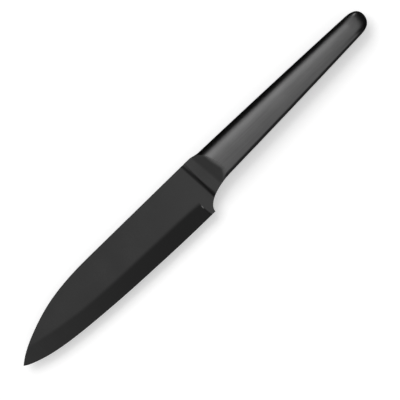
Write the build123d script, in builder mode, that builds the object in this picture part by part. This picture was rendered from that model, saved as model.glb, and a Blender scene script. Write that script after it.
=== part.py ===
"""An all-steel paring knife, lying on its side.

Millimetres, +Z up. X runs from the tip to the butt of the handle, +Y points at the spine,
and the blade is parallel to the surface that the knife lies on. The origin is on that
surface, under the middle of the knife's box.
"""

from build123d import *

import math
import os

# Sizes of the whole knife
overall_length = 239.0
blade_length = 120.0
blade_height = 27.4

# Sizes of the blade
blade_thickness = 1.8
edge_thickness = 0.3
spine_rounding = 0.3
bevel_end_gap = 3.0
bevel_end_height = 7.9
plunge_run = 0.4
plunge_corner_radius = 1.2

# Sizes of the tang, which is hidden in the neck
tang_length = 15.0
tang_height = 11.0
tang_thickness = 1.4
tang_corner_radius = 1.5
tang_clearance = 0.05

# Sizes of the neck, which is the bolster's slim front
shoulder_gap = 3.6
neck_thickness = 5.2
neck_edge_rounding = 0.3
neck_flat_length = 7.2
ramp_angle = 34.5
ramp_slant_angle = 5.5
ramp_foot_radius = 2.0
ramp_top_radius = 5.0
ramp_top_clearance = 0.05

# Sizes of the handle
handle_thickness = 13.0
handle_end_thickness = 10.6
handle_end_height = 12.0
handle_swell = 0.17
handle_back_drop = 0.95
handle_back_taper = 2.45
handle_belly_rise = 8.4
back_drop_start_gap = 8.0
back_drop_length = 6.0
notch_length = 18.8
butt_length = 10.5
wall_thickness = 1.2

# Sizes of the two arcs where the bolster meets the handle shells, behind the ramp's foot
joint_depth = 7.1
joint_back_gap = 0.4
joint_apex_y = -0.3
joint_belly_radius = 6.0
joint_gap = 0.05
plug_length = 12.0
plug_clearance = 0.1

# Sizes of the balance weight in the hollow handle
weight_gap = 10.0
weight_end_gap = 22.7
weight_clearance = 0.25

# Every cut runs this far past the faces that it leaves behind
overrun = 2.0

# Pure numbers of the curves
fullness_share = 0.784
widest_share = 0.38
notch_power = 2.05
notch_point_count = 5
butt_outline_power = 4.1
butt_side_power = 2.0
butt_middle_share = 0.55
butt_step_angles = (0, 14, 28, 42, 56, 68, 79, 88)
bevel_overrun_share = 0.15

# The blade's outline, in shares of its length and height
spine_shares = (
    (0.0, 0.419),
    (0.033, 0.526),
    (0.080, 0.640),
    (0.145, 0.759),
    (0.243, 0.893),
    (0.341, 0.966),
    (0.439, 0.996),
    (0.504, 1.0),
)
edge_shares = (
    (0.0, 0.419),
    (0.015, 0.376),
    (0.039, 0.330),
    (0.080, 0.269),
    (0.145, 0.201),
    (0.243, 0.139),
    (0.373, 0.089),
    (0.504, 0.0535),
    (0.667, 0.025),
    (0.830, 0.0053),
)
# Where the bevel starts on the blade's side, in the same shares, paired with the edge's points
bevel_shares = (
    (-0.020, 0.740),
    (0.020, 0.680),
    (0.062, 0.620),
    (0.115, 0.557),
    (0.185, 0.498),
    (0.285, 0.430),
    (0.400, 0.388),
    (0.520, 0.363),
    (0.675, 0.346),
    (0.835, 0.329),
)
neck_step_count = 12
handle_step_count = 2
plug_step_count = 2

# Places that follow from the sizes
tip_x = -overall_length / 2
butt_x = overall_length / 2
heel_x = tip_x + blade_length
edge_y = -blade_height / 2
spine_y = blade_height / 2
centre_z = handle_thickness / 2
shoulder_x = heel_x + shoulder_gap
notch_end_x = heel_x + notch_length
plunge_x = heel_x - bevel_end_gap
ramp_x = shoulder_x + neck_flat_length
plug_end_x = notch_end_x + plug_length
weight_x = plug_end_x + weight_gap
joint_apex_x = ramp_x + joint_depth
joint_sag = joint_depth - joint_back_gap
joint_back_radius = (joint_sag**2 + (spine_y - joint_apex_y) ** 2) / (2 * joint_sag)
round_x = butt_x - butt_length
back_drop_start_x = heel_x + back_drop_start_gap
back_drop_end_x = back_drop_start_x + back_drop_length
belly_start_y = edge_y + handle_belly_rise
back_end_y = spine_y - handle_back_drop - handle_back_taper
belly_end_y = back_end_y - handle_end_height
half_blade = blade_thickness / 2
half_tang = tang_thickness / 2
half_edge = edge_thickness / 2
half_neck = neck_thickness / 2
half_handle = handle_thickness / 2
half_handle_end = handle_end_thickness / 2
side_plane = Plane.XY.offset(centre_z)


def blade_point(share):
    """A point of the blade's outline, from its shares of the blade's length and height."""
    return (tip_x + share[0] * blade_length, edge_y + share[1] * blade_height)


def taper(x, start, end):
    """A slightly swollen taper from one point to another: a straight line and a parabola."""
    along = (x - start[0]) / (end[0] - start[0])
    return start[1] + along * (end[1] - start[1]), 4 * handle_swell * along * (1 - along)


def belly_y(x):
    """The underside: the handle's taper, and before it a superellipse up from the heel."""
    line, bulge = taper(x, (notch_end_x, belly_start_y), (round_x, belly_end_y))
    left = max(0.0, min(1.0, (notch_end_x - x) / notch_length))
    rise = (1 - left**notch_power) ** (1 / notch_power)
    return edge_y + (line - bulge - edge_y) * rise


def back_y(x):
    """The back: level with the blade's spine, then a smooth drop to the handle's taper."""
    start = (back_drop_end_x, spine_y - handle_back_drop)
    line, bulge = taper(x, start, (round_x, back_end_y))
    step = max(0.0, min(1.0, (x - back_drop_start_x) / back_drop_length))
    blend = step * step * (3 - 2 * step)
    return spine_y + (line + bulge - spine_y) * blend


def half_thickness(x):
    """Half the handle's thickness: full up to the notch's end, then thinner as a parabola."""
    along = max(0.0, (x - notch_end_x) / (round_x - notch_end_x))
    return half_handle + (half_handle_end - half_handle) * along**2


def cross_section(x, low_y, high_y, half_width):
    """One cross-section of the handle: four Bezier quarters, fuller than an ellipse's.

    It is widest below its middle, so that the belly is rounder and the sides lean to the back.
    """
    widest_y = low_y + widest_share * (high_y - low_y)
    with BuildSketch(Plane(origin=(x, 0, centre_z), x_dir=(0, 1, 0), z_dir=(1, 0, 0))) as section:
        with BuildLine():
            for end_y, side in ((high_y, 1), (low_y, 1), (low_y, -1), (high_y, -1)):
                Bezier(
                    (end_y, 0),
                    (end_y, side * fullness_share * half_width),
                    (widest_y + fullness_share * (end_y - widest_y), side * half_width),
                    (widest_y, side * half_width),
                )
        make_face()
    return section.sketch


def run_of_sections(start_x, end_x, step_count, inset):
    """Evenly spaced cross-sections along the knife, all drawn in by the same wall."""
    sections = []
    for step in range(step_count + 1):
        x = start_x + (end_x - start_x) * step / step_count
        low_y = belly_y(x) + inset
        high_y = back_y(x) - inset
        sections.append(cross_section(x, low_y, high_y, half_thickness(x) - inset))
    return sections


def butt_sections(inset):
    """Cross-sections of the round end: its sides close softly, and its outline stays blunt.

    Each size is the taper's, times the square root of 1 less a power of the way along, and
    the outline closes a little above its middle.
    """
    sections = []
    for step_angle in butt_step_angles:
        along = math.sin(math.radians(step_angle))
        full_share = along / math.sin(math.radians(butt_step_angles[-1]))
        x = round_x + full_share * (butt_length - inset)
        low_y = belly_y(x) + inset
        high_y = back_y(x) - inset
        closed = (high_y - low_y) * (1 - math.sqrt(1 - along**butt_outline_power))
        low_y += butt_middle_share * closed
        high_y -= (1 - butt_middle_share) * closed
        half_width = (half_thickness(x) - inset) * math.sqrt(1 - along**butt_side_power)
        sections.append(cross_section(x, low_y, high_y, half_width))
    return sections


# Outer form of the neck and the handle, as one solid
with BuildPart() as outer_form:
    loft(run_of_sections(shoulder_x, notch_end_x, neck_step_count, 0))
    loft(run_of_sections(notch_end_x, round_x, handle_step_count, 0))
    loft(butt_sections(0))

# Hollow of the handle
with BuildPart() as hollow_form:
    loft(run_of_sections(ramp_x, notch_end_x, plug_step_count, wall_thickness))
    loft(run_of_sections(notch_end_x, round_x, handle_step_count, wall_thickness))
    loft(butt_sections(wall_thickness))


def joint_block(gap):
    """Everything in front of the joint: a wide arc to the back and a tight one to the belly."""
    back_radius = joint_back_radius + gap
    belly_radius = joint_belly_radius + gap
    back_centre_x = joint_apex_x - joint_back_radius
    belly_centre_x = joint_apex_x - joint_belly_radius
    front_x = shoulder_x - back_radius
    with BuildPart() as block:
        with BuildSketch(side_plane):
            with BuildLine():
                CenterArc((back_centre_x, joint_apex_y), back_radius, 0, 90)
                Polyline(
                    (back_centre_x, joint_apex_y + back_radius),
                    (front_x, joint_apex_y + back_radius),
                    (front_x, -blade_height),
                    (belly_centre_x, -blade_height),
                    (belly_centre_x, joint_apex_y - belly_radius),
                )
                CenterArc((belly_centre_x, joint_apex_y), belly_radius, 0, -90)
            make_face()
        extrude(amount=half_handle + overrun, both=True)
    return block.part


# What is ground away to leave the neck: flat sides, a slanted ramp and a fillet at the blade
ramp_plane = Plane(
    origin=(ramp_x, 0, centre_z),
    x_dir=(math.cos(math.radians(ramp_slant_angle)), math.sin(math.radians(ramp_slant_angle)), 0),
    z_dir=(math.sin(math.radians(ramp_slant_angle)), -math.cos(math.radians(ramp_slant_angle)), 0),
)
ramp_rise = half_handle + ramp_top_clearance - half_neck
ramp_run = ramp_rise / math.tan(math.radians(ramp_angle))
neck_fillet_radius = half_neck - half_blade

with BuildPart() as neck_grinding:
    with BuildSketch(ramp_plane):
        with BuildLine():
            FilletPolyline(
                (-blade_length, half_neck),
                (0, half_neck),
                (ramp_run, half_neck + ramp_rise),
                (blade_length, half_neck + ramp_rise),
                radius=(ramp_foot_radius, ramp_top_radius),
            )
            Polyline(
                (blade_length, half_neck + ramp_rise),
                (blade_length, half_handle + overrun),
                (-blade_length, half_handle + overrun),
                (-blade_length, half_neck),
            )
        make_face()
    extrude(amount=blade_height, both=True)
    with BuildSketch(Plane.XZ.offset(-blade_height)):
        with BuildLine():
            Line((shoulder_x - overrun, centre_z + half_blade), (shoulder_x, centre_z + half_blade))
            CenterArc((shoulder_x, centre_z + half_neck), neck_fillet_radius, -90, 90)
            Polyline(
                (shoulder_x + neck_fillet_radius, centre_z + half_neck),
                (shoulder_x + neck_fillet_radius, handle_thickness + overrun),
                (shoulder_x - overrun, handle_thickness + overrun),
                (shoulder_x - overrun, centre_z + half_blade),
            )
        make_face()
    extrude(amount=2 * blade_height)
    mirror(about=side_plane)

# Tang, drawn once for the blade and once with clearance for its slot
tang_y = (back_y(ramp_x) + belly_y(ramp_x)) / 2


def tang_side(clearance):
    """The tang's side, from inside the blade to its rounded end."""
    length = tang_length + overrun + clearance
    with BuildSketch(side_plane) as side:
        with Locations((shoulder_x - overrun + length / 2, tang_y)):
            RectangleRounded(length, tang_height + 2 * clearance, tang_corner_radius)
    return side.sketch


def bevel_area(reach_share, shift):
    """One level of the bevel's cut: from a curve on the blade's side out past the edge.

    A share of 0 gives the blade's edge, and 1 the line where the bevel starts.
    """
    edge_points = [blade_point(share) for share in edge_shares] + [(plunge_x, edge_y)]
    bevel_points = [blade_point(share) for share in bevel_shares]
    bevel_points.append((plunge_x, edge_y + bevel_end_height))
    curve = [
        (low[0] + reach_share * (high[0] - low[0]), low[1] + reach_share * (high[1] - low[1]))
        for low, high in zip(edge_points, bevel_points)
    ]
    curve[-1] = (plunge_x + shift, curve[-1][1])
    far_y = edge_y - 2 * overrun
    level = centre_z + half_edge + reach_share * (half_blade - half_edge)
    with BuildSketch(Plane.XY.offset(level)) as area:
        with BuildLine():
            Spline(*curve)
            Polyline(curve[-1], (curve[-1][0], far_y), (tip_x - overrun, far_y), curve[0])
        make_face()
        corner = area.vertices().group_by(Axis.X)[-1].sort_by(Axis.Y)[-1]
        fillet(corner, radius=plunge_corner_radius)
    return area.sketch


# What is ground away to leave the two bevels: a ruled block on each side of the edge
with BuildPart() as bevel_grinding:
    loft(
        [
            bevel_area(-bevel_overrun_share, -plunge_run / 2),
            bevel_area(1 + bevel_overrun_share, plunge_run / 2),
        ],
        ruled=True,
    )
    mirror(about=side_plane)

# Blade, ground on both sides, with its hidden tang
with BuildPart() as blade:
    with BuildSketch(side_plane):
        with BuildLine():
            Spline(*[blade_point(share) for share in spine_shares])
            Polyline(
                blade_point(spine_shares[-1]),
                (shoulder_x, spine_y),
                (shoulder_x, belly_y(shoulder_x)),
            )
            notch_steps = [number / notch_point_count for number in range(notch_point_count + 1)]
            Spline(
                *[
                    (heel_x + shoulder_gap * step**2, belly_y(heel_x + shoulder_gap * step**2))
                    for step in notch_steps
                ]
            )
            Spline(*[blade_point(share) for share in edge_shares], (plunge_x, edge_y))
            Line((plunge_x, edge_y), (heel_x, edge_y))
        make_face()
    extrude(amount=half_blade, both=True)
    for side in (0, -1):
        side_edges = blade.faces().filter_by(Plane.XY).sort_by(Axis.Z)[side].edges()
        back_edges = side_edges.sort_by(Axis.Y)[-2:]
        notch_edge = side_edges.filter_by(GeomType.BSPLINE).sort_by(Axis.X)[-1]
        fillet(back_edges + [notch_edge], radius=spine_rounding)
    add(bevel_grinding.part, mode=Mode.SUBTRACT)
    extrude(tang_side(0), amount=half_tang, both=True)

# Bolster: the neck, the ramps and a plug that closes the handle's mouth, slotted for the tang
plug_inset = wall_thickness + plug_clearance
with BuildPart() as bolster:
    add(outer_form.part)
    add(joint_block(0), mode=Mode.INTERSECT)
    loft(run_of_sections(ramp_x, notch_end_x, plug_step_count, plug_inset))
    loft(run_of_sections(notch_end_x, plug_end_x, plug_step_count, plug_inset))
    add(neck_grinding.part, mode=Mode.SUBTRACT)
    for side in (0, -1):
        neck_side = bolster.faces().filter_by(Plane.XY).sort_by(Axis.Z)[side]
        fillet(neck_side.edges().filter_by(GeomType.BSPLINE), radius=neck_edge_rounding)
    extrude(
        tang_side(tang_clearance),
        amount=half_tang + tang_clearance,
        both=True,
        mode=Mode.SUBTRACT,
    )

# Handle shells: two pressed halves that meet along the back and the underside
with BuildPart() as shell_pair:
    add(outer_form.part)
    add(hollow_form.part, mode=Mode.SUBTRACT)
    add(joint_block(joint_gap), mode=Mode.SUBTRACT)
    add(neck_grinding.part, mode=Mode.SUBTRACT)

with BuildPart() as handle_shell_left:
    add(shell_pair.part)
    split(bisect_by=side_plane, keep=Keep.TOP)

with BuildPart() as handle_shell_right:
    add(shell_pair.part)
    split(bisect_by=side_plane, keep=Keep.BOTTOM)

# Balance weight: a slug behind the plug, which the hollow's taper holds
weight_inset = wall_thickness + weight_clearance
with BuildPart() as balance_weight:
    loft(run_of_sections(weight_x, round_x - weight_end_gap, handle_step_count, weight_inset))

pieces = {
    "blade": blade,
    "bolster": bolster,
    "handle_shell_left": handle_shell_left,
    "handle_shell_right": handle_shell_right,
    "balance_weight": balance_weight,
}
os.makedirs("parts", exist_ok=True)
for name, piece in pieces.items():
    piece.part.label = name
    export_step(piece.part, f"parts/{name}.step")
    print(name, round(piece.part.volume, 1), piece.part.bounding_box(), piece.part.is_valid)
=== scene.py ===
# %% [markdown]
# # An all-steel paring knife
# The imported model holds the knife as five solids: a ground blade, a solid neck, two pressed
# handle shells and a steel slug inside the handle. Their shapes are finished, so this lesson
# remodels none of them. It gives each steel surface the finish that a cutler would, builds a
# small photographer's table around the knife, and sets the camera above it.
# Lengths in Blender are in metres, and the knife lies with its tip towards -X, its spine
# towards +Y and its left side up.

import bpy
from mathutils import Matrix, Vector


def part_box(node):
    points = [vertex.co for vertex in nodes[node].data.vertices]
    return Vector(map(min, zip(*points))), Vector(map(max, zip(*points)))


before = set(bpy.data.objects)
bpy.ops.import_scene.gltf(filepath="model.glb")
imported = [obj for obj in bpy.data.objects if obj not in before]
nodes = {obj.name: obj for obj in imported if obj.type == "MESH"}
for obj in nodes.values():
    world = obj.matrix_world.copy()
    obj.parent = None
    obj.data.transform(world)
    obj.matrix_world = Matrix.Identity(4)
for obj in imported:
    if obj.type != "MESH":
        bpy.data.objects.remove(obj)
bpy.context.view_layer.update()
print("pieces:", ", ".join(sorted(nodes)))

# %% Tools for the lesson
import math

import bpy
import numpy as np

mm = 0.001
scene = bpy.context.scene
print("one millimetre is", mm, "m")

# %% [markdown]
# ## Reading the knife's own measures
# The cards and the camera stand round the knife, so its two ends and its middle plane are read
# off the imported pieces, not typed from memory. The lines where one finish meets the next come
# further on. They are in millimetres in the same frame, so they need no fitting either.

# %% Places read off the pieces
blade_low, blade_high = np.array(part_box("blade")) / mm
shell_low, shell_high = np.array(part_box("handle_shell_left")) / mm
tip_x = float(blade_low[0])
butt_x = float(shell_high[0])
middle_z = float(blade_low[2] + blade_high[2]) / 2
print(f"tip at {tip_x:.1f} mm, butt at {butt_x:.1f} mm, middle plane {middle_z:.1f} mm above the table")

# %% [markdown]
# ## Colours and nodes
# A colour picked on a screen is written as a hex value, but a shader counts in linear light.
# One function turns the first into the second. Materials are trees of nodes, and making each
# node by hand takes many lines, so one small function adds a node of any kind, changes its
# settings, and either links each input to another node or sets it to a plain value.

# %% A colour in linear light
def linear(hex_colour):
    """Screen colour to light: below 0.04045 divide by 12.92, above it shift, scale and raise to 2.4."""
    channels = np.array([int(hex_colour[start:start + 2], 16) / 255 for start in (1, 3, 5)])
    curved = ((channels + 0.055) / 1.055) ** 2.4
    return (*np.where(channels <= 0.04045, channels / 12.92, curved).tolist(), 1.0)


print("middle grey in linear light:", round(linear("#808080")[0], 3))


# %% One node, with its settings and links
def add(tree, kind, settings, inputs):
    """A node of any kind; an input that is given a socket is linked, and any other is set."""
    node = tree.nodes.new(kind)
    for name, value in settings.items():
        setattr(node, name, value)
    for name, value in inputs.items():
        if isinstance(value, bpy.types.NodeSocket):
            tree.links.new(value, node.inputs[name])
        else:
            node.inputs[name].default_value = value
    return node


# The Mix node keeps one set of sockets for each kind of value, told apart by their numbers
FACTOR, NUMBER_A, NUMBER_B, NUMBER_OUT = 0, 2, 3, 0
COLOUR_A, COLOUR_B, COLOUR_OUT = 6, 7, 2


# %% The two ends of a material
def new_material(name):
    """An empty material and its tree of nodes."""
    material = bpy.data.materials.new(name)
    material.use_nodes = True
    material.node_tree.nodes.clear()
    return material, material.node_tree


def place_in_mm(tree):
    """A point's place on its own piece in millimetres, which every pattern starts from."""
    spot = add(tree, "ShaderNodeTexCoord", {}, {})
    place = add(tree, "ShaderNodeVectorMath", {"operation": "SCALE"},
                {0: spot.outputs["Object"], "Scale": 1 / mm})
    return place.outputs[0]


def steel_surface(tree, height, bump_strength, bump_depth, inputs):
    """Ends a tree: the height as a bump of a real depth in millimetres, the shader and the output."""
    bump = add(tree, "ShaderNodeBump", {},
               {"Strength": bump_strength, "Distance": bump_depth * mm, "Height": height})
    shader = add(tree, "ShaderNodeBsdfPrincipled", {}, {"Normal": bump.outputs[0], **inputs})
    add(tree, "ShaderNodeOutputMaterial", {}, {"Surface": shader.outputs[0]})


# %% [markdown]
# ## Patterns that the finishes share
# Two things make a metal surface look real: a fine pattern left by the tool that finished it,
# and a clear idea of where one finish ends and the next begins. The tool's pattern is noise,
# stretched along the tool's path. A border between finishes could be painted on a texture, but
# that needs an image and a UV map. Here the border is drawn with a few points in a curve node,
# and the material asks on which side of it each point of the surface lies.

# %% Tool marks
noise_roughness = 0.6


def tool_marks(tree, place, sizes_mm, detail):
    """Noise from 0 to 1 whose grains are as long as the three sizes, in millimetres, along X, Y and Z."""
    stretched = add(tree, "ShaderNodeMapping", {},
                    {"Vector": place, "Scale": [1 / size for size in sizes_mm]})
    noise = add(tree, "ShaderNodeTexNoise", {},
                {"Vector": stretched.outputs[0], "Scale": 1.0, "Detail": detail,
                 "Roughness": noise_roughness})
    return noise.outputs["Fac"]


# %% A border that is drawn as a line
def past_line(tree, along, across, points, softness):
    """Rises from 0 to 1 as a point crosses a drawn line, over a width of softness, in millimetres.

    The points give the line's place across for places along. Both are brought to 0 to 1, a curve
    joins them, and what is left of the point's own place across, less the line's, is the distance
    that is spread over the softness.
    """
    points = np.array(points)
    low, high = points.min(0), points.max(0)
    share = add(tree, "ShaderNodeMapRange", {"clamp": True},
                {"Value": along, "From Min": low[0], "From Max": high[0]})
    curve = add(tree, "ShaderNodeFloatCurve", {}, {"Value": share.outputs[0]})
    drawn = curve.mapping.curves[0]
    unit = (points - low) / (high - low)
    for end, spot in zip(drawn.points, (unit[0], unit[-1])):
        end.location = spot
    for spot in unit[1:-1]:
        drawn.points.new(*spot)
    curve.mapping.update()
    line = add(tree, "ShaderNodeMapRange", {"clamp": True},
               {"Value": curve.outputs[0], "To Min": low[1], "To Max": high[1]})
    gap = add(tree, "ShaderNodeMath", {"operation": "SUBTRACT"}, {0: across, 1: line.outputs[0]})
    rise = add(tree, "ShaderNodeMapRange", {"interpolation_type": "SMOOTHSTEP"},
               {"Value": gap.outputs[0], "From Min": -softness / 2, "From Max": softness / 2})
    return rise.outputs[0]


# %% A narrow band
def between_lines(tree, along, across, near_points, far_points, softness):
    """1 between two drawn lines and 0 outside: past the near line, but not past the far one."""
    near = past_line(tree, along, across, near_points, softness)
    far = past_line(tree, along, across, far_points, softness)
    band = add(tree, "ShaderNodeMath", {"operation": "SUBTRACT"}, {0: near, 1: far})
    return band.outputs[0]


# %% Blending
def blend_colours(tree, share, first, second):
    """The first colour where the share is 0, the second where it is 1."""
    mix = add(tree, "ShaderNodeMix", {"data_type": "RGBA"},
              {FACTOR: share, COLOUR_A: first, COLOUR_B: second})
    return mix.outputs[COLOUR_OUT]


def blend_numbers(tree, share, first, second):
    """The first number where the share is 0, the second where it is 1."""
    mix = add(tree, "ShaderNodeMix", {}, {FACTOR: share, NUMBER_A: first, NUMBER_B: second})
    return mix.outputs[NUMBER_OUT]


# %% [markdown]
# ## The black coat of the blade and the neck
# The blade is stainless steel under a black hard coat, which is laid on in vacuum and is only a
# few thousandths of a millimetre thick. It hides nothing: what shows through is how the steel
# was finished before. The flats and the neck were blasted with fine beads, so they look soft
# charcoal. The bevel was ground, and its smoother steel sends less light up to the eye, so
# the same coat looks almost black there. A painted metal would be one dark colour with a gloss;
# blending two finishes along the bevel's line keeps the grinder's work.

# %% The coat itself
# Typical of a hard coat is 1.5. Its blasted surface shades part of its own gloss, so it is less.
coat_index = 1.36
coat_bump = 0.5
blade_bump_depth = 0.01
neck_bump_depth = 0.008
print(f"the coat's index is {coat_index}, its bumps are {blade_bump_depth} mm high on the blade")

# %% The coat on blasted steel
# Real blasting leaves grains of about 0.1 mm, which a photograph of the whole knife doesn't
# show. They are drawn at 0.6 mm, a little more than one of its pixels.
blast_grain = 0.6
blast_detail = 3.0
coat_cloud = 16.0
cloud_detail = 1.0
# The product of the two noises lies mostly between these two values
blast_least, blast_most = 0.12, 0.40
blast_smoothest, blast_roughest = 0.46, 0.62


def blasted_coat(tree, place, dark, light):
    """Colour, roughness and height of the coat where it lies on blasted steel."""
    grain = tool_marks(tree, place, (blast_grain,) * 3, blast_detail)
    cloud = tool_marks(tree, place, (coat_cloud,) * 3, cloud_detail)
    both = add(tree, "ShaderNodeMath", {"operation": "MULTIPLY"}, {0: grain, 1: cloud})
    share = add(tree, "ShaderNodeMapRange", {},
                {"Value": both.outputs[0], "From Min": blast_least, "From Max": blast_most})
    colour = blend_colours(tree, share.outputs[0], linear(dark), linear(light))
    return colour, blend_numbers(tree, grain, blast_smoothest, blast_roughest), grain


print(f"blast grain {blast_grain} mm, clouds {coat_cloud} mm")

# %% The coat on the ground bevel
# The grinding belt's scratches are 0.05 mm apart, and are drawn at 0.7 mm for the same reason
grinding_line = 0.7
grinding_run = 14.0
grinding_detail = 3.0
ground_smoothest, ground_roughest = 0.36, 0.50
ground_colour = "#0b0b0b"
ground_tip_colour = "#2c2c2c"
scratch_colour = "#141414"
scratch_share = 0.5
paler_from, palest_at = -20.0, -116.0
paling_power = 1.8


def ground_coat(tree, place, along):
    """Colour, roughness and height of the coat on the bevel, paler towards the tip.

    The way from the heel's end to the tip, as a share raised to a power, blends black with a
    dark grey, so most of the change comes near the tip, where the belt was lifted off.
    """
    lines = tool_marks(tree, place, (grinding_line, grinding_run, grinding_run), grinding_detail)
    tipward = add(tree, "ShaderNodeMapRange", {},
                  {"Value": along, "From Min": paler_from, "From Max": palest_at})
    share = add(tree, "ShaderNodeMath", {"operation": "POWER"},
                {0: tipward.outputs[0], 1: paling_power})
    body = blend_colours(tree, share.outputs[0], linear(ground_colour), linear(ground_tip_colour))
    colour = blend_colours(tree, blend_numbers(tree, lines, 0.0, scratch_share), body,
                           linear(scratch_colour))
    return colour, blend_numbers(tree, lines, ground_smoothest, ground_roughest), lines


print(f"the bevel grows paler over {paler_from - palest_at:.0f} mm")

# %% [markdown]
# ## Where the blade's finishes meet
# Each line is a list of points in millimetres. The bevel's line runs from the tip to the heel,
# at the height where the grinding stopped, and ends at the plunge, a short wall that the
# grinding wheel leaves. On the plunge's upper part a small glint is painted into the colour,
# a painted highlight. The flat grows a little paler towards the heel. In the corner where the
# neck steps up from the blade a dark line of painted shade is drawn, wider at the underside
# than at the spine.

# %% Lines on the blade
bevel_line = [
    (-118.0, 5.6), (-110.7, 2.9), (-101.6, 0.8), (-91.1, -1.1), (-74.7, -3.0),
    (-58.4, -3.8), (-32.5, -4.4), (-6.0, -5.2), (-2.4, -5.6),
]
bevel_softness = 2.6

# From here on the lines run across the blade, so Y comes first in each point
plunge_line = [(-13.0, -1.75), (-9.0, -2.3), (-6.0, -2.5)]
plunge_softness = 0.6
heel_line = [(-14.0, -32.0), (14.0, -8.0)]
heel_softness = 60.0
# Painted shade: a dark band in the corner where the neck steps up from the blade
corner_shade_front = [(-10.0, 4.9), (14.0, 3.35)]
corner_shade_back = [(-10.0, 7.2), (14.0, 4.65)]
corner_shade_softness = 1.1
# Painted highlight: the glint's line across the plunge
painted_glint_front = [(-13.0, -3.0), (-6.0, -2.75)]
painted_glint_back = [(-13.0, -2.55), (-6.0, -2.3)]
painted_glint_softness = 0.3

# The painted glint's two ends run along the blade again
painted_glint_low = [(-4.0, -8.5), (0.0, -8.4)]
painted_glint_top = [(-4.0, -7.1), (0.0, -7.0)]
painted_glint_end_softness = 1.2
print("the bevel's line has", len(bevel_line), "points")

# %% Colours on the blade
blade_flat_dark, blade_flat_light = "#2c2c2c", "#333333"
heel_colour = "#363636"
# Painted shade for that corner, which gets less light
painted_corner_shade_colour = "#0a0a0a"
# Painted highlight: the glint on the plunge's upper part
painted_glint_colour = "#6c6c6c"


def black_coated_blade_steel():
    """Two coat finishes meeting along the bevel's line, painted shade in the corner, a painted glint."""
    material, tree = new_material("black_coated_blade_steel")
    place = place_in_mm(tree)
    axes = add(tree, "ShaderNodeSeparateXYZ", {}, {0: place})
    x, y = axes.outputs["X"], axes.outputs["Y"]
    flat_colour, flat_roughness, flat_height = blasted_coat(tree, place, blade_flat_dark,
                                                            blade_flat_light)
    heelward = past_line(tree, y, x, heel_line, heel_softness)
    flat_colour = blend_colours(tree, heelward, flat_colour, linear(heel_colour))
    bevel_colour, bevel_roughness, bevel_height = ground_coat(tree, place, x)

    above_bevel = past_line(tree, x, y, bevel_line, bevel_softness)
    behind_plunge = past_line(tree, y, x, plunge_line, plunge_softness)
    on_flat = add(tree, "ShaderNodeMath", {"operation": "MAXIMUM"},
                  {0: above_bevel, 1: behind_plunge}).outputs[0]
    colour = blend_colours(tree, on_flat, bevel_colour, flat_colour)
    # Painted shade in the corner where the neck steps up
    painted_shade_in_corner = between_lines(tree, y, x, corner_shade_front, corner_shade_back, corner_shade_softness)
    colour = blend_colours(tree, painted_shade_in_corner, colour, linear(painted_corner_shade_colour))

    # Painted highlight: a glint painted on the plunge's upper part
    across_painted_glint = between_lines(tree, y, x, painted_glint_front, painted_glint_back, painted_glint_softness)
    along_painted_glint = between_lines(tree, x, y, painted_glint_low, painted_glint_top, painted_glint_end_softness)
    painted_glint = add(tree, "ShaderNodeMath", {"operation": "MULTIPLY"}, {0: across_painted_glint, 1: along_painted_glint})
    colour = blend_colours(tree, painted_glint.outputs[0], colour, linear(painted_glint_colour))

    steel_surface(tree, blend_numbers(tree, on_flat, bevel_height, flat_height), coat_bump,
                  blade_bump_depth,
                  {"Base Color": colour, "IOR": coat_index,
                   "Roughness": blend_numbers(tree, on_flat, bevel_roughness, flat_roughness)})
    return material


blade_steel = black_coated_blade_steel()
nodes["blade"].data.materials[0] = blade_steel
print(blade_steel.name, "has", len(blade_steel.node_tree.nodes), "nodes")

# %% [markdown]
# ## The satin steel of the handle
# The two shells are pressed from sheet, welded along the back and the underside, and ground
# along the handle with a fine belt until the weld is gone. That leaves dark steel with a soft
# shine that runs in long faint streaks. Its light comes only from reflection, so it is a metal
# with no colour of its own besides that of its reflections. The streaks could come from an
# anisotropic shader, but that needs a tangent along the handle; noise stretched along X gives
# the same long grain and stays with the metal.

# %% The satin finish
# The belt's grit leaves lines about 0.06 mm apart, drawn ten times as coarse so that they show
belt_grain = 0.7
belt_run = 26.0
belt_detail = 4.0
satin_cloud = 9.0
satin_cloud_detail = 2.0
# The sum of the two noises lies mostly between these two values
satin_least, satin_most = 0.7, 1.3
satin_smoothest, satin_roughest = 0.28, 0.38
satin_dark, satin_light = "#727272", "#7c7c7c"
satin_bump = 0.5
satin_bump_depth = 0.006


def satin_ground(tree, place):
    """Colour, roughness and height of steel that was ground along X with a fine belt."""
    lines = tool_marks(tree, place, (belt_run, belt_grain, belt_grain), belt_detail)
    cloud = tool_marks(tree, place, (2 * satin_cloud, satin_cloud, satin_cloud), satin_cloud_detail)
    both = add(tree, "ShaderNodeMath", {"operation": "ADD"}, {0: lines, 1: cloud})
    share = add(tree, "ShaderNodeMapRange", {},
                {"Value": both.outputs[0], "From Min": satin_least, "From Max": satin_most})
    colour = blend_colours(tree, share.outputs[0], linear(satin_dark), linear(satin_light))
    return colour, blend_numbers(tree, lines, satin_smoothest, satin_roughest), lines


print(f"belt lines {belt_grain} mm wide and about {belt_run} mm long")


# %% The handle's material
def satin_dark_steel():
    """The belt's finish on both shells, from the neck to the butt."""
    material, tree = new_material("satin_dark_steel")
    colour, roughness, height = satin_ground(tree, place_in_mm(tree))
    steel_surface(tree, height, satin_bump, satin_bump_depth,
                  {"Base Color": colour, "Metallic": 1.0, "Roughness": roughness})
    return material


handle_steel = satin_dark_steel()
for name in ("handle_shell_left", "handle_shell_right"):
    nodes[name].data.materials[0] = handle_steel
print(handle_steel.name, "has", len(handle_steel.node_tree.nodes), "nodes")
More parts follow.
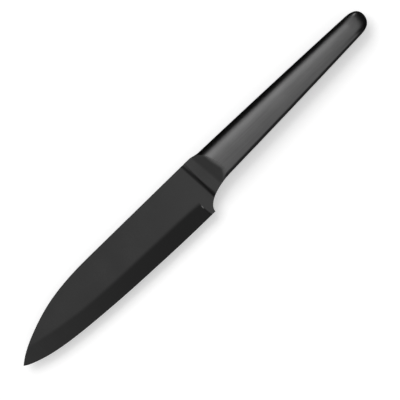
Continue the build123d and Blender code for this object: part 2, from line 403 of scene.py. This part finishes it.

# %% [markdown]
# ## The neck, where the coat gives way to satin steel
# The neck is one solid with the ramps, and it carries both finishes. The coat covers its flat
# sides and most of the ramp, whose colour is made darker with painted shade, as it faces away
# from the light. Over the ramp's rounded top the belt has run out, so the coat turns into satin
# steel over about three millimetres, along an arc that is bowed to the handle. Two materials
# on two groups of faces would meet in a hard line, so one material blends them. The corner
# where the neck steps up carries the same painted shade line as the blade.

# %% Lines and colours on the neck
# These lines run across the knife too, so Y comes first in each point
ramp_foot_line = [(-10.0, 12.5), (14.0, 10.2)]
ramp_foot_softness = 2.0
satin_line = [
    (-9.0, 10.0), (-4.0, 16.0), (-3.2, 16.6), (-2.0, 17.3), (-0.8, 17.9), (1.5, 17.5),
    (4.8, 16.7), (7.0, 16.4), (9.5, 16.2), (11.5, 15.0), (13.7, 11.0),
]
satin_softness = 3.2
neck_flat_dark, neck_flat_light = "#333333", "#3a3a3a"
# Painted shade: the ramp faces away from the light and is painted darker
painted_ramp_shade_colour = "#2d2d2d"


def black_coated_neck_steel():
    """The blasted coat before the arc, satin steel behind it, painted shade on the ramp and corner."""
    material, tree = new_material("black_coated_neck_steel")
    place = place_in_mm(tree)
    axes = add(tree, "ShaderNodeSeparateXYZ", {}, {0: place})
    x, y = axes.outputs["X"], axes.outputs["Y"]
    coat_colour, coat_roughness, coat_height = blasted_coat(tree, place, neck_flat_dark,
                                                            neck_flat_light)
    # Painted shade on the ramp, which faces away from the light
    painted_ramp_shade = past_line(tree, y, x, ramp_foot_line, ramp_foot_softness)
    coat_colour = blend_colours(tree, painted_ramp_shade, coat_colour, linear(painted_ramp_shade_colour))
    # The same painted shade in the corner where the neck steps up
    painted_shade_in_corner = between_lines(tree, y, x, corner_shade_front, corner_shade_back, corner_shade_softness)
    coat_colour = blend_colours(tree, painted_shade_in_corner, coat_colour, linear(painted_corner_shade_colour))

    satin_colour, satin_roughness, satin_height = satin_ground(tree, place)
    satin = past_line(tree, y, x, satin_line, satin_softness)
    steel_surface(tree, blend_numbers(tree, satin, coat_height, satin_height), coat_bump,
                  neck_bump_depth,
                  {"Base Color": blend_colours(tree, satin, coat_colour, satin_colour),
                   "Metallic": satin, "IOR": coat_index,
                   "Roughness": blend_numbers(tree, satin, coat_roughness, satin_roughness)})
    return material


neck_steel = black_coated_neck_steel()
nodes["bolster"].data.materials[0] = neck_steel
print(neck_steel.name, "has", len(neck_steel.node_tree.nodes), "nodes")

# %% [markdown]
# ## The slug inside the handle
# Nobody sees the balance weight once the shells are welded, but it is a piece like the others.
# It is a length of plain bar, and the saw left lines across it. Noise that is thin along X and
# long across it draws them, and they are as coarse as a real saw's.

# %% The weight's material
saw_line = 0.8
saw_run = 20.0
saw_detail = 2.0
saw_bump = 0.5
saw_bump_depth = 0.03
bar_dark, bar_light = "#a6a6a6", "#c2c2c2"
bar_smoothest, bar_roughest = 0.35, 0.5


def sawn_bar_steel():
    """Bright steel with saw lines across the bar."""
    material, tree = new_material("sawn_bar_steel")
    lines = tool_marks(tree, place_in_mm(tree), (saw_line, saw_run, saw_run), saw_detail)
    steel_surface(tree, lines, saw_bump, saw_bump_depth,
                  {"Base Color": blend_colours(tree, lines, linear(bar_dark), linear(bar_light)),
                   "Metallic": 1.0,
                   "Roughness": blend_numbers(tree, lines, bar_smoothest, bar_roughest)})
    return material


bar_steel = sawn_bar_steel()
nodes["balance_weight"].data.materials[0] = bar_steel
print(bar_steel.name, "has", len(bar_steel.node_tree.nodes), "nodes")

# %% [markdown]
# ## The table
# The knife lies on matt white card. A camera sees card a little darker than its paper white, so
# the floor shines by a small amount, but only for rays that come straight from the camera or off
# metal or glass. Its light never reaches the knife as extra light, and the shadow stays.

# %% A surface from a grid of points
def grid_object(name, points):
    """A mesh from an array of points in rows and columns, where each small square is a face."""
    rows, columns = points.shape[:2]
    number = np.arange(rows * columns).reshape(rows, columns)
    corners = (number[:-1, :-1], number[1:, :-1], number[1:, 1:], number[:-1, 1:])
    faces = np.stack(corners, -1).reshape(-1, 4)
    mesh = bpy.data.meshes.new(name)
    mesh.from_pydata(points.reshape(-1, 3).tolist(), [], faces.tolist())
    thing = bpy.data.objects.new(name, mesh)
    scene.collection.objects.link(thing)
    return thing


# %% The floor and its card
floor_reach = 3.0
card_glow = 0.36
card_colour = "#e8e8e8"

floor_x, floor_y = np.meshgrid([-floor_reach, floor_reach], [-floor_reach, floor_reach], indexing="ij")
floor = grid_object("floor", np.stack([floor_x, floor_y, np.zeros_like(floor_x)], -1))

white_card, tree = new_material("matt_white_card")
rays = add(tree, "ShaderNodeLightPath", {}, {})
straight = add(tree, "ShaderNodeMath", {"operation": "MAXIMUM"},
               {0: rays.outputs["Is Camera Ray"], 1: rays.outputs["Is Glossy Ray"]})
seen = add(tree, "ShaderNodeMath", {"operation": "MAXIMUM"},
           {0: straight.outputs[0], 1: rays.outputs["Is Transmission Ray"]})
glow = add(tree, "ShaderNodeMath", {"operation": "MULTIPLY"}, {0: seen.outputs[0], 1: card_glow})
paper = add(tree, "ShaderNodeBsdfDiffuse", {}, {"Color": linear(card_colour)})
shine = add(tree, "ShaderNodeEmission", {}, {"Strength": glow.outputs[0]})
sheet = add(tree, "ShaderNodeAddShader", {}, {0: paper.outputs[0], 1: shine.outputs[0]})
add(tree, "ShaderNodeOutputMaterial", {}, {"Surface": sheet.outputs[0]})
floor.data.materials.append(white_card)
print("floor:", 2 * floor_reach, "m square")

# %% [markdown]
# ## The light
# Steel shows the room that it lies in, so lighting it means building that room. The white room
# is the world. A long softbox hangs over the spine side and draws the soft bright band along the
# handle; it hangs nearer the tip, so the band fades towards the butt. A wide one stands lower on
# the same side and throws the knife's shadow to the other, and no metal shows it. A tiny one,
# close to the butt, puts the glint on its corner, and neither the floor nor the camera sees it.

# %% The room
room_light = 0.52

world = bpy.data.worlds.new("white_room")
scene.world = world
world.use_nodes = True
background = world.node_tree.nodes["Background"]
background.inputs["Color"].default_value = (1, 1, 1, 1)
background.inputs["Strength"].default_value = room_light
print("the room's light:", room_light)


# %% Softboxes
def softbox(name, faced_x, plan_angle, elevation, distance, size, brightness):
    """A flat lamp that faces a place on the X axis. Its power is brightness x pi x area.

    The plan angle is counted from +X towards +Y and the elevation from the table, in degrees.
    The faced place is in millimetres, the distance and the two sides of the lamp in metres.
    """
    data = bpy.data.lights.new(name, "AREA")
    data.shape = "RECTANGLE"
    data.size, data.size_y = size
    data.energy = brightness * math.pi * data.size * data.size_y
    lamp = bpy.data.objects.new(name, data)
    scene.collection.objects.link(lamp)
    turn, rise = math.radians(plan_angle), math.radians(elevation)
    lamp.location = (faced_x * mm + distance * math.cos(turn) * math.cos(rise),
                     distance * math.sin(turn) * math.cos(rise), distance * math.sin(rise))
    lamp.rotation_euler = (0, math.pi / 2 - rise, turn)
    return lamp


band = softbox("band_softbox", faced_x=-220, plan_angle=90, elevation=67, distance=1.2,
               size=(0.45, 1.2), brightness=0.84)
shadow = softbox("shadow_softbox", faced_x=0, plan_angle=90, elevation=50, distance=1.4,
                 size=(0.8, 1.2), brightness=3.1)
shadow.visible_glossy = False
glint = softbox("glint_softbox", faced_x=butt_x - 3, plan_angle=49, elevation=26, distance=0.054,
                size=(0.012, 0.012), brightness=2.4)
glint.visible_diffuse = False
glint.visible_camera = False
print("softboxes:", band.name, shadow.name, glint.name)

# %% [markdown]
# ## Dark cards
# A photographer stands dark card beside shiny metal, so that its edges show dark against the
# white table. The cards here are seen only by reflections: they throw no shadow, and the camera
# looks through them. One lies and stands along the spine, one bends round the butt behind the
# glint's lamp, and a grey one lies under the handle, a painted shade that stands in, for
# reflections, for the shaded table under the knife. Each is a profile that is carried along a
# path.

# %% Paper for the cards
def matt_paper(name, hex_colour):
    """Matt paper of one colour."""
    material, tree = new_material(name)
    matt = add(tree, "ShaderNodeBsdfDiffuse", {}, {"Color": linear(hex_colour)})
    add(tree, "ShaderNodeOutputMaterial", {}, {"Surface": matt.outputs[0]})
    return material


black_paper = matt_paper("black_paper", "#161616")
# Painted shade: the grey paper stands in, for reflections, for the shaded table under the knife
shade_grey_paper = matt_paper("shade_grey_paper", "#464646")
print("papers:", black_paper.name, shade_grey_paper.name)


# %% A card from a profile and a path
def dark_card(name, paper, path, outward, profile, tallness=1.0):
    """Point = path + outward x the profile's reach, at its height x the tallness, in millimetres."""
    path, outward, profile = np.array(path), np.array(outward), np.array(profile)
    points = np.zeros((len(path), len(profile), 3))
    points[..., :2] = path[:, None] + outward[:, None] * profile[None, :, :1]
    points[..., 2] = profile[None, :, 1] * np.reshape(tallness, (-1, 1))
    thing = grid_object(name, points * mm)
    thing.data.materials.append(paper)
    for ray in ("camera", "diffuse", "shadow", "transmission", "volume_scatter"):
        setattr(thing, "visible_" + ray, False)
    return thing


# %% The two straight cards
card_lift = 0.4
# Both start beside the spine, whose highest point is at 13.7 mm
card_edge_y = 15.0
to_spine_side, to_edge_side = (0, 1), (0, -1)

# Each profile is a list of reach and height: out over the table, then up
spine_path = [(-300.0, card_edge_y), (170.0, card_edge_y)]
spine_profile = [(0, card_lift), (145, card_lift), (145, 146)]
spine_card = dark_card("card_along_spine", black_paper, spine_path, [to_spine_side] * 2, spine_profile)

# Painted shade: this card stands in, for reflections, for the table's shade under the knife
handle_path = [(9.0, card_edge_y), (butt_x + 60, card_edge_y)]
handle_profile = [(0, card_lift), (95, card_lift), (95, 20)]
shade_card = dark_card("shade_card_under_handle", shade_grey_paper, handle_path, [to_edge_side] * 2, handle_profile)
print("straight cards:", spine_card.name, shade_card.name)

# %% The card round the butt
plan_first, plan_last, plan_steps = -78, 68, 30
plan = np.radians(np.linspace(plan_first, plan_last, plan_steps))
ring = np.stack([np.cos(plan), np.sin(plan)], -1)
ring_path = np.broadcast_to([butt_x - 6, 4.5], ring.shape)
ring_profile = [(1, card_lift), (70, card_lift), (70, 100)]
# Tallest on the edge side, and half as tall as its profile where it meets the spine's card
tallness = np.interp(plan, np.radians([plan_first, 0, 36, plan_last]), [1.5, 0.78, 0.6, 0.5])
dark_card("card_round_butt", black_paper, ring_path, ring, ring_profile, tallness)
print("the card round the butt has", plan_steps, "steps")

# %% [markdown]
# ## The camera
# The photograph looks straight down on the knife's side, from far enough away that nothing
# tapers. A long lens does that here. The knife lies along X, so the camera is turned instead of
# the knife, until the tip points at the lower left corner.

# %% A long lens straight above
photo_pixels = 400
pixel = 0.489
camera_x, camera_y = -1.1, -4.43
camera_turn = -44.3

lens = bpy.data.cameras.new("camera")
lens.lens = 200.0
lens.sensor_width = 36.0
lens.clip_start = 0.01
lens.clip_end = 20.0
camera = bpy.data.objects.new("camera", lens)
scene.collection.objects.link(camera)
camera_height = photo_pixels * pixel * lens.lens / lens.sensor_width
camera.location = (camera_x * mm, camera_y * mm, (middle_z + camera_height) * mm)
camera.rotation_euler = (0, 0, math.radians(camera_turn))
scene.camera = camera
scene.view_settings.view_transform = "Standard"
print(f"camera {camera_height * mm:.2f} m above the knife")
